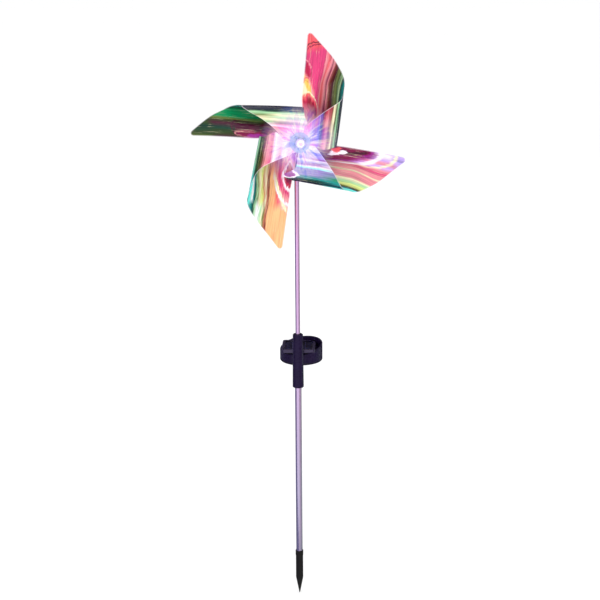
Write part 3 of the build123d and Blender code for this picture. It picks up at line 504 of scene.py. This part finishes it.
def film(name):
    """Glossy iridescent film: coloured bands that drift along it, partly its own colours and partly
    painted reflections, fine streaks, painted glints, a painted highlight along its cut edge, painted LED
    rays near the hub and a painted glow that it emits, strongest at the hub.
    """
    look = FILMS[name]
    material, tree, shader, place = new_material(name)
    flat = add(tree, "ShaderNodeUVMap", uv_map="film").outputs["UV"]
    u, v = part(tree, flat, "X"), part(tree, flat, "Y")
    drift = noise(tree, stretched(tree, flat, DRIFT_SCALE), 1.0, 2.0)
    fine = noise(tree, stretched(tree, flat, STREAK_SCALE), 1.0, 5.0, 0.65, 0.5)
    turned = maths(tree, "SUBTRACT", maths(tree, "MAXIMUM", v, SKEW_FROM), SKEW_MIDDLE)
    waved = maths(tree, "ADD", u, maths(tree, "MULTIPLY", turned, look.get("skew", 0.0)))
    waved = maths(tree, "ADD", waved, spread(tree, drift, 0.25, 0.75, -DRIFT_BY, DRIFT_BY))
    waved = maths(tree, "ADD", waved, noisy(tree, fine, -STREAK_BY, STREAK_BY))
    colour = film_bands(tree, look, waved, v, drift)
    colour = film_ovals(tree, look, colour, flat, waved, v)
    streak = spread(tree, fine, 0.28, 0.72, 0.5, 1.45)
    colour = mixed(tree, 0.75, colour, grey(tree, streak), "MULTIPLY")
    # Painted glints: fine cream highlight lines along the film.
    painted_glints = noise(tree, stretched(tree, flat, PAINTED_GLINT_SCALE), 1.0, 3.0, 0.7)
    colour = mixed(tree, spread(tree, painted_glints, 0.6, 0.66, 0.0, 0.55), colour, (*linear("cream"), 1))
    # Painted highlight: a white line along the film's cut edge.
    to_edge = part(tree, add(tree, "ShaderNodeUVMap", uv_map="cut").outputs["UV"], "X")
    colour = mixed(tree, spread(tree, to_edge, *CUT_EDGE, 0.4, 0.0), colour, (*linear("white"), 1))
    # Painted LED rays mixed into the film near the hub.
    near = hub_nearness(tree, place, *HUB_GLOW)
    colour = mixed(tree, maths(tree, "MULTIPLY", near, 0.8), colour, painted_led_rays(tree, place))
    tree.links.new(colour, shader.inputs["Base Color"])
    # Painted glow: the film emits its own colour everywhere, most near the hub, as if lit by the LED.
    share = spread(tree, near, 0.0, 1.0, 0.2, 1.0)
    glow = mixed(tree, 1.0, colour, grey(tree, share), "MULTIPLY")
    tree.links.new(glow, shader.inputs["Emission Color"])
    shader.inputs["Emission Strength"].default_value = 0.5
    shader.inputs["Roughness"].default_value = 0.14
    shader.inputs["Specular IOR Level"].default_value = 0.22
    shader.inputs["Coat Weight"].default_value = 0.1
    shader.inputs["Coat Roughness"].default_value = 0.05
    solid = hub_nearness(tree, place, *HUB_THIN, HUB_ALPHA, FILM_ALPHA)
    tree.links.new(solid, shader.inputs["Alpha"])
    bumped(tree, shader, fine, 0.25, FILM_RELIEF)
    return material


# ---- blades ----
REST_TURN = math.radians(8.5)
FILM_LENGTH = 122 * MM
FILM_HEIGHT = 139 * MM
HUB_FLAT = 12.8 * MM
HUB_BEND_R = 5 * MM
TIP_R = 3.6 * MM
NOTCH_R = (SLEEVE_HIGH[0] - SLEEVE_LOW[0]) / 2 + 0.3 * MM
BLADE_ROWS = 72
RUN_STEPS = (14, 6, 8, 44, 12, 4, 8)          # mesh columns along each run of the film
CURL_TRIES = 60
FRONT_FROM = 0.524                    # share of the film where its front half begins
MOUTH_RISE = 0.08                     # share of the film over which the flare at its mouth sets in
WIDEST_AT = 0.55                      # height share at which a blade has its second width
EASED = (70 * MM, 110 * MM)           # heights between which the outward turn goes out of the film
SHIFTED = (30 * MM, 60 * MM)          # heights over which the straight edge moves sideways
SHIFT_FADE = (2 * MM, 32 * MM)        # distances across the blade over which that move fades
FREE_ACROSS = 40 * MM                 # distance across at which the film is free of the hub
RIPPLED = (13 * MM, 40 * MM)          # distances across over which the film's ripple sets in
RIPPLE, RIPPLE_ALONG, RIPPLE_ROUND = 0.35 * MM, 9, 40
CREASE_ANGLE = math.radians(50)

# quarter: turns of 90 degrees from the top blade. width: share of the CAD's width at the mouth, and
# from the height share WIDEST_AT up. reach: share of the CAD's height. bend: sideways turn of the
# tip, in degrees. bow: how far the front edge bows along the blade, in mm, and the share of its
# front half where it bows most. mouth: place across, depth and half width of the flare at the open
# end, in mm. shift: how far the straight edge stands off sideways, in mm.
SHAPES = {
    "blade_top": {"quarter": 0, "width": (0.96, 0.96), "reach": 0.978, "bend": -2.0,
                  "bow": (-7, 0.12), "mouth": (30, 5, 12), "shift": -3.2},
    "blade_right": {"quarter": 1, "width": (1.0, 1.08), "reach": 1.008, "bend": 2.4,
                    "bow": (-5, 0.12), "mouth": (42, 14, 7), "shift": -0.8},
    "blade_bottom": {"quarter": 2, "width": (0.98, 1.07), "reach": 1.025, "bend": -0.1,
                     "bow": (-23, 0.3), "mouth": (32, 9, 10), "shift": 1.4},
    "blade_left": {"quarter": 3, "width": (0.84, 0.74), "reach": 0.985, "bend": -3.2,
                   "bow": (8, 0.2), "mouth": (26, 6, 10), "shift": -2.8},
}
BLADE_FILM = {"blade_top": "film_rose", "blade_right": "film_plum",
              "blade_bottom": "film_amber", "blade_left": "film_emerald"}


def leg_to_curl(curl_x, depth):
    """Turn at the hub bend and length of the straight film between it and the curl."""
    across, out = curl_x - HUB_FLAT, depth - HUB_BEND_R
    apart = math.hypot(across, out)
    radii = CURL_R + HUB_BEND_R
    return math.atan2(out, across) + math.asin(radii / apart), math.sqrt(apart ** 2 - radii ** 2)


def film_runs(curl_x):
    """The film's runs from back to front as (length, curvature)."""
    back_turn, back_leg = leg_to_curl(curl_x, CURL_Y - FILM_BACK_Y)
    front_turn, front_leg = leg_to_curl(curl_x, FILM_FRONT_Y - CURL_Y)
    around = math.pi + back_turn + front_turn
    return [(HUB_FLAT, 0.0), (HUB_BEND_R * back_turn, 1 / HUB_BEND_R), (back_leg, 0.0),
            (CURL_R * around, -1 / CURL_R), (front_leg, 0.0),
            (HUB_BEND_R * front_turn, 1 / HUB_BEND_R), (HUB_FLAT, 0.0)]


def film_path(ease=0.0):
    """Points (film length used, across, depth) along the film, its curl placed to use its length.

    ease takes that share of the outward turn out of the film, which then runs straighter.
    """
    low, high = 1.5 * HUB_FLAT + CURL_R, 4 * CURL_R
    for _ in range(CURL_TRIES):
        curl_x = (low + high) / 2
        if sum(length for length, _ in film_runs(curl_x)) < FILM_LENGTH:
            low = curl_x
        else:
            high = curl_x
    used, x, y, heading = 0.0, 0.0, FILM_BACK_Y, 0.0
    points = [(used, x, y)]
    for (length, curvature), steps in zip(film_runs(low), RUN_STEPS):
        step = length / steps
        for _ in range(steps):
            halfway = heading + curvature * step / 2
            chord = step if not curvature else 2 / abs(curvature) * math.sin(abs(curvature) * step / 2)
            slope = halfway * (1 - ease if halfway > 0 else 1)
            x += chord * math.cos(slope)
            y += chord * math.sin(slope)
            heading += curvature * step
            used += step
            points.append((used, x, y))
    return points


def film_top(used):
    """Height of the cut edge where so much film has been used."""
    along_tip = TIP_R / math.tan(math.pi / 8)
    if used < TIP_R * (1 + math.sin(math.pi / 4)):
        rise = math.sqrt(max(0.0, TIP_R ** 2 - (used - TIP_R) ** 2))
        return FILM_HEIGHT - along_tip + rise
    return FILM_HEIGHT - used


def bell(value, centre, half_width):
    return math.exp(-((value - centre) / half_width) ** 2)


def smooth(value, low, high):
    share = min(1.0, max(0.0, (value - low) / (high - low)))
    return share * share * (3 - 2 * share)


def film_edges(shape, used, across):
    """Heights of the film's lower and upper edge where so much film has been used."""
    share = used / FILM_LENGTH
    top, low = film_top(used), 0.0
    if share > FRONT_FROM:
        bow, peak = shape["bow"]
        along = (share - FRONT_FROM) / (1 - FRONT_FROM) / peak
        top += bow * MM * along * math.exp(1 - along)
        centre, depth, half_width = (size * MM for size in shape["mouth"])
        low = -depth * bell(across, centre, half_width) * min(1.0, (share - FRONT_FROM) / MOUTH_RISE)
    if across < NOTCH_R:
        low = math.sqrt(NOTCH_R ** 2 - max(0.0, across) ** 2)
    return low, top


def film_point(shape, paths, column, row):
    """One film point at rest: its place, its share along and up the film, its distance from the cut.

    The place is (across, depth, height), with this blade's own shape.
    """
    (used, curled_x, curled_y), (_, eased_x, eased_y) = paths[0][column], paths[1][column]
    share = used / FILM_LENGTH
    low, top = film_edges(shape, used, curled_x)
    v = low + (top - low) * row / BLADE_ROWS
    out = max(0.0, v / FILM_HEIGHT)
    ease = smooth(v, *EASED)
    x = curled_x + (eased_x - curled_x) * ease
    y = curled_y + (eased_y - curled_y) * ease
    start, end = shape["width"]
    free = min(1.0, x / FREE_ACROSS) if x > 0 else 0.0
    wide = 1 + (start + (end - start) * min(1.0, out / WIDEST_AT) - 1) * free
    lean = v * math.tan(math.radians(shape["bend"]) * out)
    lean += shape["shift"] * MM * smooth(v, *SHIFTED) * (1 - smooth(x, *SHIFT_FADE))
    loose = smooth(x, *RIPPLED) * math.sin(math.pi * min(1.0, out))
    ripple = RIPPLE * math.sin(RIPPLE_ALONG * out + RIPPLE_ROUND * share) * loose
    place = Vector((x * wide + lean, y + ripple, v * shape["reach"]))
    return place, (share, v / FILM_HEIGHT), (min(top - v, used), 0.0)


def film_solid(name, shape):
    """The film as a closed mesh FILM_T thick.

    Its UV layers hold the film's own flat coordinates and the distance from its cut edge.
    """
    paths = film_path(), film_path(1.0)
    columns = len(paths[0])
    grid = [[film_point(shape, paths, i, j) for j in range(BLADE_ROWS + 1)] for i in range(columns)]
    turn = REST_TURN + shape["quarter"] * math.pi / 2
    spin = Quaternion((0, 1, 0), turn)
    verts = []
    for face in (1, -1):
        for i in range(columns):
            for j in range(BLADE_ROWS + 1):
                along_u = grid[min(i + 1, columns - 1)][j][0] - grid[max(i - 1, 0)][j][0]
                along_v = grid[i][min(j + 1, BLADE_ROWS)][0] - grid[i][max(j - 1, 0)][0]
                normal = along_u.cross(along_v).normalized()
                local = grid[i][j][0] + normal * (face * FILM_T / 2)
                verts.append(spin @ local + Vector((0, 0, HUB_Z)))
    size = columns * (BLADE_ROWS + 1)

    def at(i, j, face=0):
        return face * size + i * (BLADE_ROWS + 1) + j

    faces = []
    for i in range(columns - 1):
        for j in range(BLADE_ROWS):
            quad = [(i, j), (i + 1, j), (i + 1, j + 1), (i, j + 1)]
            faces.append([at(*c) for c in quad])
            faces.append([at(*c, 1) for c in reversed(quad)])
    rim = [(i, 0) for i in range(columns)]
    rim += [(columns - 1, j) for j in range(1, BLADE_ROWS + 1)]
    rim += [(i, BLADE_ROWS) for i in range(columns - 2, -1, -1)]
    rim += [(0, j) for j in range(BLADE_ROWS - 1, 0, -1)]
    for a, b in zip(rim, rim[1:] + rim[:1]):
        faces.append([at(*b), at(*a), at(*a, 1), at(*b, 1)])
    mesh = bpy.data.meshes.new(name)
    mesh.from_pydata(verts, [], faces)
    for index, layer_name in ((1, "film"), (2, "cut")):
        layer = mesh.uv_layers.new(name=layer_name)
        flat = [point[index] for line in grid for point in line]
        for loop in mesh.loops:
            layer.data[loop.index].uv = flat[loop.vertex_index % size]
    mesh.shade_smooth()
    mesh.set_sharp_from_angle(angle=CREASE_ANGLE)
    return mesh


def make_blades(materials):
    for node, shape in SHAPES.items():
        mesh = film_solid(node + "_film", shape)
        blade = bpy.data.objects.new(node + "_film", mesh)
        bpy.context.collection.objects.link(blade)
        blade.data.materials.append(materials[BLADE_FILM[node]])
        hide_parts(node)
        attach(blade, "rotor")


# ---- materials for the record's slots ----
UPRIGHT = (2600.0, 2600.0, 4.0)       # noise scales of drawn lines along each direction
ALONG_AXLE = (1800.0, 5.0, 1800.0)
EVEN = (900.0, 900.0, 900.0)
VIOLET_GLEAM = (0.72, 0.62, 1.0)
CAP_REACH = 7 * MM

MOULDED = {
    "case_black": {"colour": (0.009, 0.004, 0.026), "rough": 0.28, "specular": 0.22,
                   "gleam": VIOLET_GLEAM},
    "frame_black": {"colour": (0.009, 0.005, 0.022), "rough": 0.18, "specular": 0.9,
                    "gleam": VIOLET_GLEAM},
    "spike_black": {"colour": (0.008, 0.0075, 0.008), "rough": 0.5, "grain": 1400.0, "relief": 0.4,
                    "specular": 0.15},
    "seal_rubber": {"colour": (0.02, 0.02, 0.022), "rough": 0.7, "grain": 1200.0, "relief": 0.5},
    "button_rubber": {"colour": (0.05, 0.045, 0.06), "rough": 0.65, "grain": 1200.0, "relief": 0.4},
    "chip_black": {"colour": (0.02, 0.02, 0.02), "rough": 0.5},
    "head_plastic": {"colour": (0.55, 0.56, 0.85), "rough": 0.25, "coat": 0.3, "alpha": 0.8},
    "hub_clear": {"colour": (0.5, 0.62, 1.0), "rough": 0.12, "coat": 0.3, "alpha": 0.42},
    "bush_nylon": {"colour": (0.75, 0.74, 0.7), "rough": 0.4},
    "lead_sheath": {"colour": (0.35, 0.02, 0.02), "rough": 0.4},
    "cell_wrap": {"colour": (0.02, 0.22, 0.07), "rough": 0.25, "coat": 0.4},
}
METALS = {
    "tube_metal": {"colour": (0.5, 0.44, 0.64), "rough": 0.2, "along": UPRIGHT,
                   "top": (0.74, 0.44, 0.76)},
    "screw_steel": {"colour": (0.6, 0.6, 0.62), "rough": 0.3, "along": ALONG_AXLE},
    "spring_steel": {"colour": (0.55, 0.53, 0.5), "rough": 0.3, "along": EVEN},
    "pin_metal": {"colour": (0.42, 0.5, 0.9), "rough": 0.25, "along": ALONG_AXLE},
    "busbar_silver": {"colour": (0.3, 0.3, 0.42), "rough": 0.45, "along": EVEN, "metallic": 0.6},
    "copper_winding": {"colour": (0.72, 0.3, 0.13), "rough": 0.35, "along": EVEN},
}


def make_materials():
    made = {name: film(name) for name in FILMS}
    made.update({name: moulded(name, **look) for name, look in MOULDED.items()})
    made.update({name: drawn_metal(name, **look) for name, look in METALS.items()})
    made["cell_silicon"] = silicon("cell_silicon")
    made["window_clear"] = clear("window_clear", (0.5, 0.47, 0.68), 0.015)
    made["lens_clear"] = clear("lens_clear", (0.9, 0.92, 0.95), 0.04)
    made["led_clear"] = clear("led_clear", (1.0, 0.98, 0.9), 0.1)
    made["board_green"] = board("board_green", (0.01, 0.12, 0.04))
    made["board_white"] = board("board_white", (0.6, 0.6, 0.6))
    rim, core = (0.6, 0.55, 0.95), (0.95, 0.55, 0.75)
    made["cap_white"] = lit_plastic("cap_white", rim, core, CAP_REACH, 0.12)
    return made


def dress_nodes(materials):
    """Give every CAD node the material of its record slot."""
    for row in frame["record"]["subparts"]:
        node = frame["nodes"][row["node"]]
        node.data.materials.clear()
        node.data.materials.append(materials[row["material_slot"]])


# ---- stage ----
FLOOR_SIZE, FLOOR_CLOUD = 60.0, 0.5
FLOOR_SHADES = (0.93, 0.93, 0.93, 1), (0.96, 0.96, 0.96, 1)
WORLD_STRENGTH = 1.06
CARD_LIFT = 1 * MM
CARD_START = 14 * MM                  # distance from the pole at which the cards on the floor begin
DARK, SHADED, PALE, GREEN = (0.05, 0.04, 0.06), (0.2, 0.2, 0.3), (0.62, 0.56, 0.56), (0.4, 0.48, 0.42)

# Each flag as (name, degrees round from straight in front, distance, (width, height), colour).
FLAGS = (
    ("left_flag", -100, 0.3, (0.38, 1.1), SHADED),
    ("left_back_flag", -148, 0.3, (0.28, 1.1), SHADED),
    ("right_flag", 50, 0.3, (0.33, 1.1), PALE),
    ("right_side_flag", 102, 0.3, (0.28, 1.1), GREEN),
    ("right_back_flag", 150, 0.3, (0.25, 1.1), DARK),
    ("back_flag", 180, 1.0, (1.2, 1.5), DARK),
)
# Each lamp as (name, place, (width, height), power, colour). All of them point at LAMP_AIM.
LAMP_AIM = (0, 0, 0.45)
LAMPS = (
    ("key", (-1.2, -2.2, 2.6), (1.4, 1.4), 14.0, WHITE),
    ("fill", (2.0, -1.6, 1.4), (1.2, 1.8), 6.0, (0.97, 0.95, 1.0)),
    ("rim", (0.6, 2.4, 1.8), (1.6, 1.2), 8.0, WHITE),
)


def make_lamp(name, place, size, power, colour):
    data = bpy.data.lights.new(name, "AREA")
    data.shape = "RECTANGLE"
    data.size, data.size_y = size
    data.energy = power
    data.color = colour
    lamp = bpy.data.objects.new(name, data)
    bpy.context.collection.objects.link(lamp)
    lamp.location = place
    lamp.visible_camera = False
    ahead = Vector(LAMP_AIM) - Vector(place)
    lamp.rotation_euler = ahead.to_track_quat("-Z", "Y").to_euler()


def make_floor():
    bpy.ops.mesh.primitive_plane_add(size=FLOOR_SIZE)
    floor = bpy.context.object
    floor.name = "floor"
    material, tree, shader, place = new_material("floor")
    cloud = noise(tree, place, FLOOR_CLOUD)
    tree.links.new(mixed(tree, cloud, *FLOOR_SHADES), shader.inputs["Base Color"])
    shader.inputs["Roughness"].default_value = 0.9
    floor.data.materials.append(material)


def make_card(name, place, size, rotation, material):
    """Flat card that the camera doesn't see and that casts no shadow."""
    bpy.ops.mesh.primitive_plane_add(size=1.0, location=place, rotation=rotation)
    card = bpy.context.object
    card.name = name
    card.scale = (*size, 1)
    card.data.materials.append(material)
    card.visible_camera = False
    card.visible_diffuse = False
    card.visible_shadow = False


def make_flag(name, around, away, size, colour):
    """Card beside the object and one on the floor before it, which only shiny surfaces see."""
    turn = math.radians(around)
    out = Vector((math.sin(turn), -math.cos(turn), 0))
    material, _, shader, _ = new_material(name)
    shader.inputs["Base Color"].default_value = (*colour, 1)
    shader.inputs["Roughness"].default_value = 1.0
    width, height = size
    upright = out * away + Vector((0, 0, height / 2))
    make_card(name, upright, size, (math.radians(90), 0, turn), material)
    flat = out * (away + CARD_START) / 2 + Vector((0, 0, CARD_LIFT))
    make_card(name + "_floor", flat, (width, away - CARD_START), (0, 0, turn), material)


def make_stage():
    make_floor()
    for flag in FLAGS:
        make_flag(*flag)
    scene = bpy.context.scene
    scene.view_settings.view_transform = "Standard"
    world = bpy.data.worlds.new("studio")
    world.use_nodes = True
    background = world.node_tree.nodes["Background"]
    background.inputs["Color"].default_value = (1, 1, 1, 1)
    background.inputs["Strength"].default_value = WORLD_STRENGTH
    scene.world = world
    for lamp in LAMPS:
        make_lamp(*lamp)


make_camera()
surfaces = make_materials()
dress_nodes(surfaces)
make_blades(surfaces)
make_stage()
